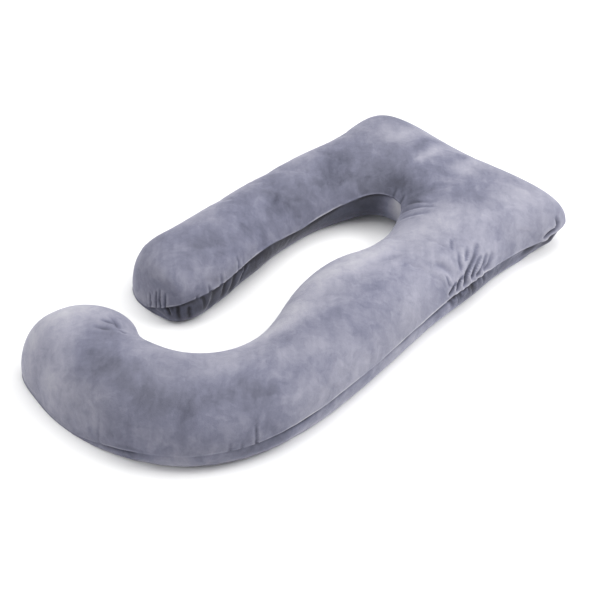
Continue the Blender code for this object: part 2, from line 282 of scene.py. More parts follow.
# The seam. The top panel's edge stands up as a thin lip over a groove, and both panels pucker there.
LIP_HEIGHT = 0.0016
LIP_PLACE = 0.0020
LIP_REACH = 0.0026
GROOVE_DEPTH = 0.0042
GROOVE_PLACE = -0.0030
GROOVE_REACH = 0.0034
PUCKER_DEPTH = 0.0016
PUCKER_REACH = 0.016
PUCKER_GAP = 0.004
# The seam comes into view over this height above the ground, less the share of it that stays hidden
SEAM_SHOWS_OVER = 0.020
SEAM_HIDDEN_SHARE = 0.3
# Values that wander along the seam, from middle - swing to middle + swing
Wandering = namedtuple("Wandering", "middle swing spacing seed")
GROOVE_STRENGTH = Wandering(0.85, 0.45, 0.07, 11)
LIP_STRENGTH = Wandering(0.8, 0.5, 0.03, 12)
PUCKER_LEAN = Wandering(0.0, 0.5, 0.09, 13)
TOP_PUCKERS = Wandering(0.0, 1.0, 0.011, 14)
UNDER_PUCKERS = Wandering(0.0, 1.0, 0.011, 15)
PUCKER_AMOUNT = Wandering(0.45, 0.55, 0.12, 16)
SEAM_PLAINNESS = Wandering(0.55, 0.75, 0.05, 17)
PLAINNESS_LIMITS = (0.1, 1.3)

# Patches in metres in the imported model's frame, turned by so many degrees, lighter above 0 and darker
# below. On the top panel they are partly stroked pile and partly painted light and shade; on the under
# panel they are painted light and shade on its walls.
StrokeAndPaintedLight = namedtuple("StrokeAndPaintedLight", "panel x y along across turn amount")
STROKES_AND_PAINTED_LIGHT = (
    StrokeAndPaintedLight("top", -0.02, 0.430, 0.110, 0.045, 0, -1.15),
    StrokeAndPaintedLight("top", -0.12, 0.53, 0.050, 0.060, 20, -0.35),
    StrokeAndPaintedLight("top", 0.02, 0.51, 0.080, 0.030, 10, -0.50),
    StrokeAndPaintedLight("top", -0.05, 0.58, 0.020, 0.060, 0, 0.60),
    StrokeAndPaintedLight("top", -0.10, 0.60, 0.020, 0.070, 5, -0.42),
    StrokeAndPaintedLight("top", 0.01, 0.60, 0.016, 0.060, -5, -0.15),
    StrokeAndPaintedLight("top", 0.06, 0.58, 0.030, 0.060, 0, 0.50),
    StrokeAndPaintedLight("top", -0.16, 0.61, 0.030, 0.060, 0, 0.30),
    StrokeAndPaintedLight("top", 0.15, 0.48, 0.050, 0.040, 40, -0.50),
    StrokeAndPaintedLight("top", 0.23, 0.60, 0.060, 0.070, 0, 0.40),
    StrokeAndPaintedLight("top", 0.26, 0.53, 0.030, 0.040, 0, -0.20),
    StrokeAndPaintedLight("top", 0.30, 0.50, 0.040, 0.030, 0, 0.15),
    StrokeAndPaintedLight("top", 0.18, 0.36, 0.120, 0.080, 70, 0.50),
    StrokeAndPaintedLight("top", 0.21, 0.30, 0.060, 0.050, 0, -0.15),
    StrokeAndPaintedLight("top", 0.14, 0.12, 0.060, 0.160, 0, 0.85),
    StrokeAndPaintedLight("top", 0.10, 0.02, 0.050, 0.110, 0, 0.40),
    StrokeAndPaintedLight("top", 0.29, 0.10, 0.050, 0.100, 0, 0.25),
    StrokeAndPaintedLight("top", 0.24, 0.03, 0.040, 0.060, -10, -0.30),
    StrokeAndPaintedLight("top", 0.34, -0.22, 0.030, 0.060, 0, -0.35),
    StrokeAndPaintedLight("top", 0.25, -0.14, 0.060, 0.060, 0, -0.32),
    StrokeAndPaintedLight("top", 0.16, -0.26, 0.045, 0.130, 0, 0.80),
    StrokeAndPaintedLight("top", 0.22, -0.28, 0.035, 0.050, 25, -0.35),
    StrokeAndPaintedLight("top", 0.31, -0.30, 0.030, 0.050, 0, -0.35),
    StrokeAndPaintedLight("top", 0.35, -0.22, 0.030, 0.120, 0, 0.45),
    StrokeAndPaintedLight("top", 0.27, -0.46, 0.110, 0.060, 50, -0.50),
    StrokeAndPaintedLight("top", 0.17, -0.60, 0.120, 0.060, 10, -0.70),
    StrokeAndPaintedLight("top", -0.03, -0.60, 0.080, 0.060, 0, -0.60),
    StrokeAndPaintedLight("top", -0.10, -0.53, 0.040, 0.050, 0, -0.45),
    StrokeAndPaintedLight("top", 0.03, -0.48, 0.100, 0.030, 0, 0.25),
    StrokeAndPaintedLight("top", 0.07, -0.66, 0.060, 0.025, 0, 0.15),
    StrokeAndPaintedLight("top", -0.22, -0.56, 0.070, 0.120, -10, 0.85),
    StrokeAndPaintedLight("top", -0.12, -0.66, 0.060, 0.050, 0, 0.22),
    StrokeAndPaintedLight("top", -0.20, 0.36, 0.100, 0.110, 30, -0.60),
    StrokeAndPaintedLight("top", -0.20, 0.16, 0.050, 0.140, 0, -0.60),
    StrokeAndPaintedLight("top", -0.27, 0.12, 0.050, 0.100, 0, -0.45),
    StrokeAndPaintedLight("top", -0.25, 0.28, 0.030, 0.030, 0, 0.20),
    StrokeAndPaintedLight("top", -0.31, 0.02, 0.030, 0.200, 0, 0.20),
    StrokeAndPaintedLight("top", -0.17, -0.02, 0.040, 0.100, 0, -0.45),
    StrokeAndPaintedLight("top", -0.22, -0.12, 0.060, 0.060, 20, -0.30),
    StrokeAndPaintedLight("top", -0.21, -0.22, 0.090, 0.050, 0, -0.35),
    StrokeAndPaintedLight("top", -0.30, -0.18, 0.040, 0.060, 0, -0.25),
    StrokeAndPaintedLight("top", -0.17, -0.14, 0.050, 0.100, 0, -0.35),
    StrokeAndPaintedLight("top", -0.09, 0.380, 0.060, 0.035, 30, -0.40),
    StrokeAndPaintedLight("top", 0.05, 0.36, 0.030, 0.060, 0, -0.15),
    StrokeAndPaintedLight("top", 0.29, -0.29, 0.060, 0.060, 0, 0.25),
    StrokeAndPaintedLight("top", -0.08, -0.68, 0.060, 0.030, 0, 0.45),
    StrokeAndPaintedLight("top", 0.13, -0.12, 0.040, 0.080, 0, 0.42),
    StrokeAndPaintedLight("top", -0.16, 0.56, 0.040, 0.030, 0, 0.25),
    StrokeAndPaintedLight("top", -0.24, 0.66, 0.080, 0.030, 0, -0.35),
    StrokeAndPaintedLight("top", -0.14, 0.66, 0.040, 0.025, 0, 0.40),
    StrokeAndPaintedLight("top", -0.01, 0.65, 0.060, 0.025, 0, 0.35),
    StrokeAndPaintedLight("top", -0.29, 0.35, 0.060, 0.050, 0, 0.35),
    StrokeAndPaintedLight("top", 0.08, -0.04, 0.020, 0.050, 0, 0.35),
    StrokeAndPaintedLight("top", 0.13, -0.68, 0.060, 0.020, 0, -0.35),
    StrokeAndPaintedLight("top", 0.33, -0.45, 0.030, 0.040, 30, -0.30),
    StrokeAndPaintedLight("top", -0.02, -0.57, 0.050, 0.030, 0, 0.25),
    StrokeAndPaintedLight("top", 0.30, 0.27, 0.025, 0.050, 0, 0.30),
    StrokeAndPaintedLight("top", 0.20, 0.38, 0.030, 0.030, 0, -0.25),
    StrokeAndPaintedLight("top", -0.01, 0.405, 0.035, 0.025, 0, -0.25),
    StrokeAndPaintedLight("top", 0.04, 0.37, 0.025, 0.040, 0, -0.45),
    StrokeAndPaintedLight("top", 0.07, 0.42, 0.025, 0.030, 0, 0.25),
    StrokeAndPaintedLight("top", -0.15, -0.06, 0.030, 0.070, 0, 0.25),
    StrokeAndPaintedLight("top", 0.08, -0.60, 0.050, 0.030, 0, -0.22),
    StrokeAndPaintedLight("under", -0.16, 0.05, 0.200, 0.420, 0, -1.05),
    StrokeAndPaintedLight("under", 0.03, 0.34, 0.040, 0.050, 0, 0.40),
    StrokeAndPaintedLight("under", 0.33, 0.30, 0.060, 0.110, 0, -0.35),
    StrokeAndPaintedLight("under", 0.32, 0.62, 0.030, 0.035, 0, -0.90),
    StrokeAndPaintedLight("under", 0.31, 0.55, 0.025, 0.030, 0, -0.70),
    StrokeAndPaintedLight("under", -0.010, 0.39, 0.045, 0.050, 0, 2.30),
    StrokeAndPaintedLight("under", 0.38, -0.15, 0.060, 0.400, 0, 0.80),
    StrokeAndPaintedLight("under", 0.22, -0.64, 0.200, 0.080, 0, 0.75),
    StrokeAndPaintedLight("under", 0.33, 0.29, 0.040, 0.030, 0, -0.30),
    StrokeAndPaintedLight("under", 0.33, 0.20, 0.040, 0.040, 0, 0.60),
    StrokeAndPaintedLight("under", 0.34, 0.08, 0.050, 0.110, 0, 0.55),
    StrokeAndPaintedLight("under", 0.35, -0.47, 0.050, 0.070, 0, -0.12),
    StrokeAndPaintedLight("under", 0.33, 0.28, 0.030, 0.030, 0, 0.25),
    StrokeAndPaintedLight("under", -0.13, -0.05, 0.030, 0.060, 0, 0.40),
    StrokeAndPaintedLight("under", -0.19, -0.28, 0.050, 0.025, 0, 0.35),
    StrokeAndPaintedLight("under", 0.33, -0.54, 0.040, 0.050, 0, 0.35),
    StrokeAndPaintedLight("under", 0.17, -0.68, 0.060, 0.040, 0, -0.30),
)
# Painted light and shade: the top panel lighter and the under panel darker, and what the resting
# edge, the seam and the creases add to it
TOP_PANEL_PAINTED_LIGHT = 0.30
UNDER_PANEL_PAINTED_SHADE = -0.50
# Painted light along the under panel's resting edge, low by the ground
RESTING_EDGE_PAINTED_LIGHT = 0.65
# Painted shade on the under panel just below the seam, over this reach
UNDER_SEAM_PAINTED_SHADE = -0.42
UNDER_SEAM_REACH = 0.012
RESTING_EDGE_HEIGHT = 0.022
# Painted shade in the creases' troughs and painted light on their crests
CREASE_PAINTED_SHADE = -2.0
# Painted shade in the seam's groove
GROOVE_PAINTED_SHADE = -0.8
# Painted highlight along the seam's lip
LIP_PAINTED_HIGHLIGHT = 1.3
# The colours run from this much below 0 to this much above
LAY_LIMIT = 1.6

# Colours of the velvet, from the darkest lay of the pile and painted shade to the lightest lay and painted
# light
VELVET_COLOURS = (
    (0.00, (0.020, 0.020, 0.027)),
    (0.25, (0.060, 0.063, 0.092)),
    (0.50, (0.150, 0.154, 0.213)),
    (0.75, (0.291, 0.290, 0.350)),
    (1.00, (0.436, 0.431, 0.470)),
)
SHEEN_COLOUR = (0.78, 0.78, 0.92, 1)
# A greyer tone that comes through where the velvet is worn
WORN_GREY = (0.185, 0.182, 0.200, 1)
WORN_LEVEL = 0.10
# Marks in the pile, each spread about 0. The share is how much of it goes into the lay.
Marks = namedtuple("Marks", "scale detail gain share")
CLOUDS = Marks(9.0, 5.0, 4.0, 0.36)
BLOTCHES = Marks(24.0, 6.0, 4.0, 0.21)
CRUSHES = Marks(70.0, 4.0, 4.0, 0.13)
STREAKS = Marks(1.0, 3.0, 3.0, 0.20)
GRAIN = Marks(420.0, 2.0, 2.0, 0.10)
WEAR = Marks(5.0, 2.0, 1.2, 0.35)
# How far clouds and streaks drift out of true, the size of a streak, and the blotches in the nub
CLOUD_DRIFT = 0.14
STREAK_DRIFT = 0.03
STREAK_SIZE = (0.017, 0.09, 0.04)
STREAK_TURN = (0, 0, radians(45))
NUB_BLOTCHES = 1.5

# The camera, at the photo's angle
CAMERA_AZIMUTH = radians(44.44)
CAMERA_ELEVATION = radians(37.27)
CAMERA_DISTANCE = 4.004
CAMERA_LENS = 95.0
CAMERA_TARGET = Vector((0.0, 0.013, 0.0))
# The floor lies a hair below the pillow, so that the two never share a surface
FLOOR_SIZE = 30.0
FLOOR_LEVEL = -0.0005
# Soft lights: name, place, size, power
LIGHTS = (
    ("key", (2.4, 1.9, 2.4), 2.2, 110.0),
    ("overhead", (-0.3, 0.4, 3.4), 4.0, 120.0),
    ("front fill", (-0.7, -3.0, 1.7), 2.0, 26.0),
)
ROOM_BRIGHTNESS = 0.45


def nearness(*parts):
    """1 in the middle, falling softly to 0. Each part is a distance counted in reaches."""
    return np.exp(-sum(part ** 2 for part in parts))


def running_total(steps):
    """Total of the steps up to each point, from 0 at the first point."""
    return np.append(0.0, np.cumsum(steps))


def spline_slopes(values, first=None, last=None):
    """Slopes of the smooth curve through evenly numbered rows. An end with no slope runs out straight."""
    count = len(values)
    matrix = np.zeros((count, count))
    right = np.zeros(values.shape)
    for row in range(1, count - 1):
        matrix[row, row - 1:row + 2] = 1, 4, 1
        right[row] = 3 * (values[row + 1] - values[row - 1])
    for row, other, slope in ((0, 1, first), (count - 1, count - 2, last)):
        matrix[row, row] = 2
        if slope is None:
            matrix[row, other] = 1
            right[row] = 3 * abs(other - row) * (values[max(row, other)] - values[min(row, other)])
        else:
            right[row] = 2 * slope
    return np.linalg.solve(matrix, right)


def curve_points(values, slopes, places):
    """Points of the curve at places counted in rows."""
    row = np.minimum(places.astype(int), len(values) - 2)
    part = (places - row)[:, None]
    back = 1 - part
    return (
        values[row] * (1 + 2 * part) * back * back
        + values[row + 1] * (1 + 2 * back) * part * part
        + slopes[row] * part * back * back
        - slopes[row + 1] * part * part * back
    )


def outward(section, neighbour):
    """Unit direction square to an end section, away from the rest of the pillow."""
    across = section[OUTER] - section[INNER]
    direction = np.array((-across[1], across[0])) / np.hypot(*across)
    away = section[INNER] + section[OUTER] - neighbour[INNER] - neighbour[OUTER]
    return direction if direction @ away > 0 else -direction


def end_slope(section, neighbour):
    """Slope that makes both seams leave an end section square to it."""
    direction = outward(section, neighbour)
    slope = np.zeros(len(section))
    for side in (INNER, OUTER):
        slope[side] = direction * ((section[side] - neighbour[side]) @ direction)
    return slope


def rounded_end(section, neighbour, end, detail):
    """Stations of a rounded end, each the section drawn in about its middle, out to a point."""
    direction = outward(section, neighbour)
    middle = (section[INNER] + section[OUTER]) / 2
    half = (section[OUTER] - section[INNER]) / 2
    length = np.hypot(*half)
    out = np.sin(np.linspace(0, pi / 2, CURVE_POINTS))
    both = (end.inner_fullness, end.outer_fullness)
    inner, outer = ((1 - out ** fullness) ** (1 / fullness) for fullness in both)
    share = (inner + outer) / 2
    steps = np.hypot(np.diff(share) * length, np.diff(out) * end.reach * length)
    travel = running_total(steps)
    picks = spread(travel, 1 + TIP_CROWDING * travel / travel[-1], END_STEPS * detail)[1:]
    stations = []
    for pick in picks:
        along, near, far = (np.interp(pick, np.arange(len(out)), values) for values in (out, inner, outer))
        centre = middle + direction * along * end.reach * length
        station = section.copy()
        station[INNER] = centre - half * near
        station[OUTER] = centre + half * far
        seam = end.seam * HEIGHT
        station[SEAM_HEIGHTS] = seam + (section[SEAM_HEIGHTS] - seam) * (near, far)
        stations.append(np.append(station, (near + far) / 2))
    return stations


def spread(travel, crowding, count):
    """Places that share out a length in count steps, closer together where the crowding is higher."""
    middles = (crowding[1:] + crowding[:-1]) / 2
    weight = running_total(np.diff(travel) * middles)
    return np.interp(np.linspace(0, weight[-1], count + 1), weight, np.arange(len(travel)))


def pillow_stations(detail):
    """Sizes of every cross-section along the pillow, closer together at the creased waist."""
    sizes = np.array((WIDTH / 2, LENGTH / 2, WIDTH / 2, LENGTH / 2, HEIGHT, HEIGHT, HEIGHT))
    rows = np.array([row[1:] for row in SECTIONS]) * sizes
    first = -end_slope(rows[0], rows[1])
    last = end_slope(rows[-1], rows[-2])
    slopes = spline_slopes(rows, first, last)
    slopes[:, HEIGHTS] = spline_slopes(rows[:, HEIGHTS])
    fine = np.linspace(0, len(rows) - 1, TRIAL_FINENESS * len(rows))
    trial = curve_points(rows, slopes, fine)
    steps = sum(np.hypot(*np.diff(trial[:, side], axis=0).T) for side in (INNER, OUTER))
    at_waist = nearness((trial[:, OUTER_Y] - WAIST_Y) / WAIST_REACH)
    crowding = 1 + WAIST_CROWDING * at_waist * (trial[:, OUTER_X] > 0)
    picks = spread(running_total(steps), crowding, BODY_STEPS * detail)
    body = curve_points(rows, slopes, np.interp(picks, np.arange(len(fine)), fine))
    body = np.column_stack((body, np.ones(len(body))))
    short_end = rounded_end(rows[0], rows[1], SHORT_ARM_END, detail)
    hook_end = rounded_end(rows[-1], rows[-2], HOOK_END, detail)
    return np.vstack((short_end[::-1], body, hook_end))


def half_profile(side_fullness, rise_fullness, middle_crowding, count):
    """Shares across and up from one seam to the other, closer together at the seams."""
    angle = np.linspace(0, pi, CURVE_POINTS)
    across = -np.sign(np.cos(angle)) * np.abs(np.cos(angle)) ** (2 / side_fullness)
    rise = np.maximum(np.sin(angle), 0.0) ** (2 / rise_fullness)
    steps = np.hypot(np.diff(across) * TYPICAL_HALF_WIDTH, np.diff(rise) * TYPICAL_RISE)
    travel = running_total(steps)
    from_seam = np.minimum(travel, travel[-1] - travel)
    crowding = 1 + SEAM_CROWDING * nearness(from_seam / SEAM_CROWD_REACH)
    crowding = np.where(from_seam > WALL_TRAVEL, middle_crowding, crowding)
    picks = spread(travel, crowding, count)
    every = np.arange(len(angle))
    return np.interp(picks, every, across), np.interp(picks, every, rise)


def section_profile(detail):
    """Shares across, up and down for the points round a section, from the inner seam over the top."""
    top = half_profile(TOP_SIDE_FULLNESS, TOP_CROWN_FULLNESS, TOP_CROWDING, TOP_STEPS * detail)
    under = half_profile(UNDER_SIDE_FULLNESS, UNDER_BELLY_FULLNESS, FLAT_CROWDING, UNDER_STEPS * detail)
    profile = [(across, lift, 0.0) for across, lift in zip(*top)]
    profile += [(across, 0.0, depth) for across, depth in list(zip(*under))[-2:0:-1]]
    return np.array(profile)


def pillow_rings(detail):
    """Grid of points, a ring for each station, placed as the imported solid's own and then tucked."""
    stations = pillow_stations(detail)
    across, lift, depth = section_profile(detail).T
    inner, outer = stations[:, None, INNER], stations[:, None, OUTER]
    columns = (CROWN, INNER_SEAM, OUTER_SEAM)
    crown, inner_seam, outer_seam = (stations[:, column, None] for column in columns)
    rise = stations[:, -1, None] ** END_CROWN_FALL
    plan = (inner + outer) / 2 + (outer - inner) / 2 * across[None, :, None]
    seam = inner_seam + (outer_seam - inner_seam) * (across + 1) / 2
    height = seam + (crown - seam) * rise * lift - (seam + FLATTENED_DEPTH) * rise * depth
    grid = np.dstack((plan, np.maximum(height, 0.0)))
    grid = LOW + (grid - DRAWN_LOW) * (HIGH - LOW) / (DRAWN_HIGH - DRAWN_LOW)
    inward = (inner - outer) / np.maximum(np.linalg.norm(inner - outer, axis=2, keepdims=True), 1e-9)
    tucked = np.sin(pi / 2 * np.minimum(depth / TUCK_DEPTH, 1.0) * np.sign(across))
    for x, y, reach_x, reach_y, amount in TUCKS:
        near = nearness((grid[..., 0] - x) / reach_x, (grid[..., 1] - y) / reach_y)
        grid[..., :2] += inward * (amount * near * tucked)[..., None]
    return grid


def grid_faces(rings, around):
    """Faces between the rings, with one point at each tip. The tips are the first and last vertex."""
    faces = []
    body = rings - 2
    for ring in range(body - 1):
        here = 1 + ring * around
        for place in range(around):
            beside = (place + 1) % around
            faces.append((here + place, here + around + place, here + around + beside, here + beside))
    last = 1 + (body - 1) * around
    for place in range(around):
        beside = (place + 1) % around
        faces.append((0, 1 + place, 1 + beside))
        faces.append((1 + body * around, last + beside, last + place))
    return faces


def grid_object(name, grid):
    """A closed mesh object through a grid of rings."""
    rings, around = grid.shape[:2]
    points = np.vstack((grid[0, :1], grid[1:-1].reshape(-1, 3), grid[-1, :1]))
    mesh = bpy.data.meshes.new(name)
    mesh.from_pydata(points.tolist(), [], grid_faces(rings, around))
    made = bpy.data.objects.new(name, mesh)
    bpy.context.scene.collection.objects.link(made)
    return made


def grid_values(points, shape):
    """Values of a grid object's vertices, back as a grid with its tips repeated round their rings."""
    rings, around = shape[:2]
    grid = np.empty((rings, around) + points.shape[1:])
    grid[0], grid[-1] = points[0], points[-1]
    grid[1:-1] = points[1:-1].reshape(grid[1:-1].shape)
    return grid


def vertex_points(holder):
    """Places of all the vertices of a mesh."""
    points = np.empty(len(holder.vertices) * 3)
    holder.vertices.foreach_get("co", points)
    return points.reshape(-1, 3)


def grid_normals(grid):
    """Outward directions of a grid of rings."""
    along = np.gradient(grid, axis=0)
    round_ring = np.roll(grid, -1, axis=1) - np.roll(grid, 1, axis=1)
    normals = np.cross(along, round_ring)
    length = np.linalg.norm(normals, axis=2, keepdims=True)
    normals = normals / np.maximum(length, 1e-12)
    normals[0], normals[-1] = -along[0, 0], along[-1, 0]
    normals[0] /= np.linalg.norm(normals[0, 0])
    normals[-1] /= np.linalg.norm(normals[-1, 0])
    return normals


def smoothed(values, rounds):
    """Values of a grid averaged with their neighbours, over and over."""
    for _ in range(rounds):
        padded = np.concatenate((values[:1], values, values[-1:]))
        along = (padded[2:] + padded[:-2] + 2 * values) / 4
        values = (np.roll(along, 1, axis=1) + np.roll(along, -1, axis=1) + 2 * along) / 4
    return values


def add_cloth(holder, held, seam):
    """Run an object as filled cloth, held at one group of points and gathered at the other."""
    cloth = holder.modifiers.new("cloth", "CLOTH")
    cloth.collision_settings.use_collision = False
    settings = cloth.settings
    settings.quality = 5
    settings.mass = 0.3
    settings.tension_stiffness = settings.compression_stiffness = 15
    settings.shear_stiffness = 5
    settings.bending_stiffness = CLOTH_BENDING
    settings.use_pressure = True
    settings.uniform_pressure_force = CLOTH_PRESSURE
    settings.effector_weights.gravity = 0
    settings.vertex_group_mass = held.name
    settings.vertex_group_shrink = seam.name
    settings.shrink_min = 0
    settings.shrink_max = SEAM_GATHER


def settled_wrinkles():
    """The wrinkles that the filled cover takes as cloth: how far each point of the coarse grid moves."""
    grid = pillow_rings(1)
    trial = grid_object("settling_cover", grid)
    rest = vertex_points(trial.data)
    numbers = grid_values(np.arange(len(rest)), grid.shape).astype(int)
    seam = trial.vertex_groups.new(name="seam")
    pull = nearness(nearest_on(seam_line(grid)[0], grid)[0] / GATHER_REACH)
    for number, weight in dict(zip(numbers.ravel().tolist(), pull.ravel().tolist())).items():
        seam.add([number], weight, "REPLACE")
    held = trial.vertex_groups.new(name="held")
    held.add(np.flatnonzero(rest[:, 2] <= TOUCHING_HEIGHT).tolist(), 1.0, "REPLACE")
    add_cloth(trial, held, seam)
    for frame_number in range(1, CLOTH_FRAMES + 1):
        bpy.context.scene.frame_set(frame_number)
    settled = trial.evaluated_get(bpy.context.evaluated_depsgraph_get())
    moved = grid_values(vertex_points(settled.data) - rest, grid.shape)
    bpy.data.objects.remove(trial, do_unlink=True)
    bpy.context.scene.frame_set(1)
    wrinkles = (moved - smoothed(moved, SWELL_ROUNDS)) * WRINKLE_SHARE
    for x, y, reach_x, reach_y in SMOOTH_PLACES:
        within = nearness((grid[..., 0] - x) / reach_x, (grid[..., 1] - y) / reach_y)
        wrinkles *= 1 - SMOOTHED_SHARE * within[..., None]
    length = np.linalg.norm(wrinkles, axis=2, keepdims=True)
    return wrinkles * np.tanh(length / WRINKLE_CAP) * WRINKLE_CAP / np.maximum(length, 1e-9)


def outer_place(grid):
    """The place in each ring where the outer seam runs. The inner seam is place 0."""
    return TOP_STEPS * (grid.shape[1] // (TOP_STEPS + UNDER_STEPS))


def panel_sides(grid):
    """For each point round a ring, 1 on the top panel and -1 on the under panel."""
    return np.where(np.arange(grid.shape[1]) <= outer_place(grid), 1.0, -1.0)


def nearest_on(line, grid):
    """Distance to a line, and the number of the nearest point of the line, for each point of the grid."""
    tree = KDTree(len(line))
    for number, point in enumerate(line.tolist()):
        tree.insert(point, number)
    tree.balance()
    found = [tree.find(point)[1:] for point in grid.reshape(-1, 3).tolist()]
    number, distance = np.array(found).T
    return distance.reshape(grid.shape[:2]), number.astype(int).reshape(grid.shape[:2])


def seam_line(grid):
    """The whole seam as one closed line, and how far along it each of its points is."""
    loop = np.vstack((grid[:, 0], grid[-2:0:-1, outer_place(grid)]))
    corners = np.arange(len(loop) + 1)
    places = np.linspace(0, len(loop), SEAM_FINENESS * len(loop), endpoint=False)
    loop = np.vstack((loop, loop[:1]))
    line = np.column_stack([np.interp(places, corners, loop[:, axis]) for axis in range(3)])
    steps = np.linalg.norm(np.diff(line, axis=0, append=line[:1]), axis=1)
    return line, running_total(steps)[:-1]


def wander(travel, wandering):
    """A smooth value along a line, which turns about once in each spacing."""
    knots = int(travel.max() / wandering.spacing) + 4
    knots = np.random.default_rng(wandering.seed).uniform(-1, 1, knots)
    place = travel / wandering.spacing
    row = place.astype(int)
    part = place - row
    part = part * part * (3 - 2 * part)
    return wandering.middle + wandering.swing * (knots[row] * (1 - part) + knots[row + 1] * part)


def seam_relief(grid):
    """How far the lip, the groove and the puckers of the seam move each point outward.

    Also each point's distance from the seam, below 0 on the under panel, and how plain the seam is.
    """
    line, travel = seam_line(grid)
    distance, nearest = nearest_on(line, grid)
    side = panel_sides(grid)[None, :]
    away = distance * side
    plain = np.clip(wander(travel, SEAM_PLAINNESS), *PLAINNESS_LIMITS)
    plain = (plain * np.clip(line[:, 2] / SEAM_SHOWS_OVER - SEAM_HIDDEN_SHARE, 0, 1))[nearest]
    lip = LIP_HEIGHT * wander(travel, LIP_STRENGTH)[nearest]
    lip = lip * nearness((away - LIP_PLACE) / LIP_REACH)
    groove = GROOVE_DEPTH * wander(travel, GROOVE_STRENGTH)[nearest]
    groove = groove * nearness((away - GROOVE_PLACE) / GROOVE_REACH)
    along = travel[nearest]
    lean = wander(travel, PUCKER_LEAN)[nearest]
    top = wander(np.maximum(along + lean * distance, 0), TOP_PUCKERS)
    under = wander(np.maximum(along - lean * distance, 0), UNDER_PUCKERS)
    amount = wander(travel, PUCKER_AMOUNT)[nearest]
    pucker = np.where(side > 0, top, under) * np.maximum(amount, 0) * PUCKER_DEPTH
    pucker = pucker * np.exp(-distance / PUCKER_REACH) * np.minimum(distance / PUCKER_GAP, 1)
    return lip - groove * plain + pucker, away, plain


def crease_line(crease, points):
    """A crease's points on the cloth, close together. One given in plan lies on the cloth below it."""
    corners = np.array(crease.points)
    line = curve_points(corners, spline_slopes(corners), np.linspace(0, len(corners) - 1, CREASE_STEPS))
    given = line.shape[1]
    gaps = np.linalg.norm(points[:, None, :given] - line, axis=2)
    line = np.column_stack((line, np.zeros((CREASE_STEPS, 3 - given))))
    off = points[gaps.argmin(axis=0)] - line
    ends = LINE_SMOOTHING // 2
    padded = np.vstack((np.repeat(off[:1], ends, axis=0), off, np.repeat(off[-1:], ends, axis=0)))
    return line + sum(padded[step:step + CREASE_STEPS] for step in range(LINE_SMOOTHING)) / LINE_SMOOTHING


def crease_relief(grid):
    """How far the creases move each point outward, and their painted shade in troughs and light on ridges.
    """
    relief = np.zeros(grid.shape[:2])
    crease_shading = np.zeros(grid.shape[:2])
    sides = panel_sides(grid)
    for crease in CREASES:
        chosen = sides == PANEL_SIDES[crease.panel]
        line = crease_line(crease, grid[:, chosen].reshape(-1, 3))
        reach = CREASE_REACH * crease.width
        near = (grid > line.min(axis=0) - reach) & (grid < line.max(axis=0) + reach)
        near = near.all(axis=2) & chosen
        distances = np.linalg.norm(grid[near][:, None, :] - line, axis=2)
        part = distances.argmin(axis=1) / (CREASE_STEPS - 1)
        away = distances.min(axis=1) / crease.width
        fade = np.sqrt(np.maximum(1 - part ** 2, 0))
        if not crease.start:
            fade = np.sin(pi * part) ** FADE_POWER
        ridge = nearness(away - RIDGE_OFFSET)
        relief[near] += crease.depth * fade * (RIDGE_SHARE * ridge - nearness(away))
        sharp = min(crease.depth / crease.width / FULL_SHADING_SLOPE, 1.0)
        change = sharp * fade * (nearness(away * TROUGH_NARROWING) - CREST_LIGHT_SHARE * ridge)
        crease_shading[near] = np.where(np.abs(change) > np.abs(crease_shading[near]), change, crease_shading[near])
    return relief, crease_shading


def pile_lay(grid, away, plain, crease_shading):
    """Which way the pile lies at each point, with painted light and shade: lighter above 0, darker below.
    """
    sides = np.broadcast_to(panel_sides(grid), grid.shape[:2])
    # Painted light along the under panel's resting edge
    edge = nearness(grid[..., 2] / RESTING_EDGE_HEIGHT)
    # Painted light on the top panel and painted shade on the under panel
    lay_and_shading = np.where(sides > 0, TOP_PANEL_PAINTED_LIGHT, UNDER_PANEL_PAINTED_SHADE + RESTING_EDGE_PAINTED_LIGHT * edge)
    # Stroked pile with painted light and shade, in patches
    for patch in STROKES_AND_PAINTED_LIGHT:
        turn = radians(patch.turn)
        x, y = grid[..., 0] - patch.x, grid[..., 1] - patch.y
        along = (x * cos(turn) + y * sin(turn)) / patch.along
        across = (y * cos(turn) - x * sin(turn)) / patch.across
        here = sides == PANEL_SIDES[patch.panel]
        lay_and_shading += here * patch.amount * nearness(along, across)
    # Painted shade in the creases' troughs and painted light on their crests
    lay_and_shading += CREASE_PAINTED_SHADE * crease_shading
    # Painted shade on the under panel just below the seam
    lay_and_shading += (sides < 0) * UNDER_SEAM_PAINTED_SHADE * plain * nearness(away / UNDER_SEAM_REACH)
    # Painted shade in the seam's groove
    lay_and_shading += GROOVE_PAINTED_SHADE * plain * nearness((away - GROOVE_PLACE) / GROOVE_REACH)
    # Painted highlight along the seam's lip
    return lay_and_shading + LIP_PAINTED_HIGHLIGHT * plain * nearness((away - LIP_PLACE) / LIP_REACH)


def finer(values):
    """A grid with a point added midway along and round, on a smooth curve through its neighbours."""
    ends = np.concatenate((values[:1], values[:1], values, values[-1:], values[-1:]))
    middle = (9 * (ends[2:-3] + ends[3:-2]) - ends[1:-4] - ends[4:-1]) / 16
    rows = np.empty((2 * len(values) - 1,) + values.shape[1:])
    rows[::2] = values
    rows[1::2] = middle
    across = np.empty((rows.shape[0], 2 * rows.shape[1]) + rows.shape[2:])
    across[:, ::2] = rows
    before, after, beyond = (np.roll(rows, turn, axis=1) for turn in (1, -1, -2))
    across[:, 1::2] = (9 * (rows + after) - before - beyond) / 16
    return across


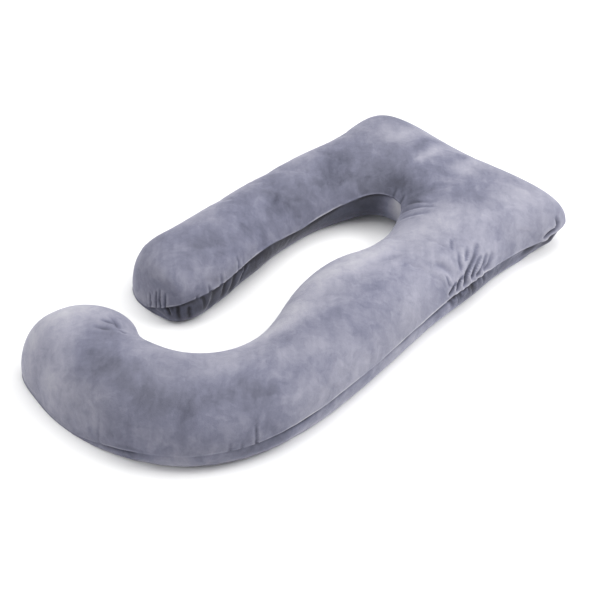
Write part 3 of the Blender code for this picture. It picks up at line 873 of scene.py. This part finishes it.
def make_cover():
    """The sewn cover as one closed mesh."""
    rest = pillow_rings(DETAIL)
    sewn, away, plain = seam_relief(rest)
    folded, crease_shading = crease_relief(rest)
    relief = sewn + folded
    lift = np.clip(rest[..., 2:] / RESTING_BLEND, 0, 1)
    grid = rest + finer(settled_wrinkles()) + grid_normals(rest) * relief[..., None] * lift
    grid[..., 2] = np.maximum(grid[..., 2], 0.0)
    cover = grid_object("pillow_cover", grid)
    cover.data.shade_smooth()
    # The pile's lay with painted light and shade, kept on the points for the material
    lay_and_shading = pile_lay(rest, away, plain, crease_shading)
    values = np.concatenate((lay_and_shading[0, :1], lay_and_shading[1:-1].ravel(), lay_and_shading[-1, :1]))
    cover.data.attributes.new("pile_lay", "FLOAT", "POINT").data.foreach_set("value", values)
    return cover


def add_node(tree, kind, **values):
    """A shader node with the given settings and inputs, i0 for the first. A socket is linked."""
    node = tree.nodes.new("ShaderNode" + kind)
    for name, value in values.items():
        if hasattr(node, name):
            setattr(node, name, value)
            continue
        socket = node.inputs[int(name[1:])] if name[1:].isdigit() else node.inputs[name.replace("_", " ")]
        if isinstance(value, bpy.types.NodeSocket):
            tree.links.new(value, socket)
        else:
            socket.default_value = value
    return node


def add_sum(tree, first, second, share):
    """First plus a share of second."""
    return add_node(tree, "Math", operation="MULTIPLY_ADD", i0=second, i1=share, i2=first).outputs[0]


def centred_noise(tree, coordinates, marks):
    """Noise spread about 0."""
    noise = add_node(
        tree, "TexNoise", Vector=coordinates, Scale=marks.scale, Detail=marks.detail, Roughness=0.55
    ).outputs["Fac"]
    middle = -marks.gain / 2
    return add_node(tree, "Math", operation="MULTIPLY_ADD", i0=noise, i1=marks.gain, i2=middle).outputs[0]


def drifted(tree, place, drift, amount):
    """Coordinates carried along by an amount of the drift."""
    share = (amount, amount, amount)
    return add_node(tree, "VectorMath", operation="MULTIPLY_ADD", i0=drift, i1=share, i2=place).outputs[0]


def velvet_material():
    """Crushed velvet: clouds and streaks where the pile lies over, on a fine standing pile, with the
    painted light and shade that the points carry.
    """
    material = bpy.data.materials.new("crushed_velvet")
    material.use_nodes = True
    tree = material.node_tree
    shader = tree.nodes["Principled BSDF"]
    place = add_node(tree, "TexCoord").outputs["Object"]
    drift = add_node(tree, "TexNoise", Vector=place, Scale=7.0, Detail=5.0, Roughness=0.6).outputs["Color"]
    drift = add_node(tree, "VectorMath", operation="SUBTRACT", i0=drift, i1=(0.5, 0.5, 0.5)).outputs[0]
    swept = drifted(tree, place, drift, CLOUD_DRIFT)
    # The points' pile lay, with painted light and shade on the panels, edges, seam and creases
    lay_and_shading = add_node(tree, "Attribute", attribute_name="pile_lay").outputs["Fac"]
    clouds = centred_noise(tree, swept, CLOUDS)
    blotches = centred_noise(tree, swept, BLOTCHES)
    crushes = centred_noise(tree, swept, CRUSHES)
    steady = drifted(tree, place, drift, STREAK_DRIFT)
    drawn_out = add_node(
        tree, "Mapping", vector_type="TEXTURE", Vector=steady, Rotation=STREAK_TURN, Scale=STREAK_SIZE
    ).outputs[0]
    streaks = centred_noise(tree, drawn_out, STREAKS)
    grain = centred_noise(tree, place, GRAIN)
    lay_and_shading = add_sum(tree, lay_and_shading, clouds, CLOUDS.share)
    lay_and_shading = add_sum(tree, lay_and_shading, blotches, BLOTCHES.share)
    lay_and_shading = add_sum(tree, lay_and_shading, crushes, CRUSHES.share)
    lay_and_shading = add_sum(tree, lay_and_shading, streaks, STREAKS.share)
    lay_and_shading = add_sum(tree, lay_and_shading, grain, GRAIN.share)
    share = add_node(tree, "MapRange", Value=lay_and_shading, i1=-LAY_LIMIT, i2=LAY_LIMIT).outputs[0]
    ramp = add_node(tree, "ValToRGB", Fac=share)
    stops = ramp.color_ramp.elements
    while len(stops) < len(VELVET_COLOURS):
        stops.new(0.5)
    for stop, (position, colour) in zip(stops, VELVET_COLOURS):
        stop.position = position
        stop.color = (*colour, 1)
    worn = centred_noise(tree, place, WEAR)
    worn = add_node(
        tree, "Math", operation="MULTIPLY_ADD", use_clamp=True, i0=worn, i1=WEAR.share, i2=WORN_LEVEL
    ).outputs[0]
    dyed = ramp.outputs["Color"]
    colour = add_node(tree, "Mix", data_type="RGBA", i0=worn, i6=dyed, i7=WORN_GREY).outputs[2]
    tree.links.new(colour, shader.inputs["Base Color"])
    nub = add_sum(tree, grain, blotches, NUB_BLOTCHES)
    bump = add_node(tree, "Bump", Strength=0.5, Distance=0.0006, Height=nub).outputs[0]
    tree.links.new(bump, shader.inputs["Normal"])
    shader.inputs["Roughness"].default_value = 0.95
    shader.inputs["Specular IOR Level"].default_value = 0.2
    shader.inputs["Sheen Weight"].default_value = 0.40
    shader.inputs["Sheen Roughness"].default_value = 0.35
    shader.inputs["Sheen Tint"].default_value = SHEEN_COLOUR
    return material


def make_floor():
    """Plain pale floor, large enough to fill every view."""
    bpy.ops.mesh.primitive_plane_add(size=FLOOR_SIZE, location=(0, 0, FLOOR_LEVEL))
    floor = bpy.context.object
    floor.name = "floor"
    material = bpy.data.materials.new("pale_floor")
    material.use_nodes = True
    shader = material.node_tree.nodes["Principled BSDF"]
    shader.inputs["Base Color"].default_value = (0.9, 0.9, 0.9, 1)
    shader.inputs["Roughness"].default_value = 0.9
    floor.data.materials.append(material)


def make_camera():
    """The camera, looking at the pillow from the photo's side."""
    data = bpy.data.cameras.new("camera")
    data.lens = CAMERA_LENS
    data.sensor_width = 36.0
    camera = bpy.data.objects.new("camera", data)
    level = cos(CAMERA_ELEVATION)
    back = Vector((sin(CAMERA_AZIMUTH) * level, -cos(CAMERA_AZIMUTH) * level, sin(CAMERA_ELEVATION)))
    camera.location = CAMERA_TARGET + back * CAMERA_DISTANCE
    camera.rotation_euler = back.to_track_quat("Z", "Y").to_euler()
    bpy.context.scene.collection.objects.link(camera)
    bpy.context.scene.camera = camera


def make_lights():
    """A white room with a soft light on the right, one overhead and a weak one at the front left."""
    world = bpy.data.worlds.new("studio")
    bpy.context.scene.world = world
    world.use_nodes = True
    world.node_tree.nodes["Background"].inputs["Color"].default_value = (1, 1, 1, 1)
    world.node_tree.nodes["Background"].inputs["Strength"].default_value = ROOM_BRIGHTNESS
    for name, place, size, power in LIGHTS:
        data = bpy.data.lights.new(name, "AREA")
        data.size = size
        data.energy = power
        light = bpy.data.objects.new(name, data)
        light.location = place
        light.rotation_euler = Vector(place).to_track_quat("Z", "Y").to_euler()
        bpy.context.scene.collection.objects.link(light)


cover = make_cover()
cover.data.materials.append(velvet_material())
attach(cover, "root")
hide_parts("pillow")
make_floor()
make_camera()
make_lights()
bpy.context.scene.view_settings.view_transform = "Standard"
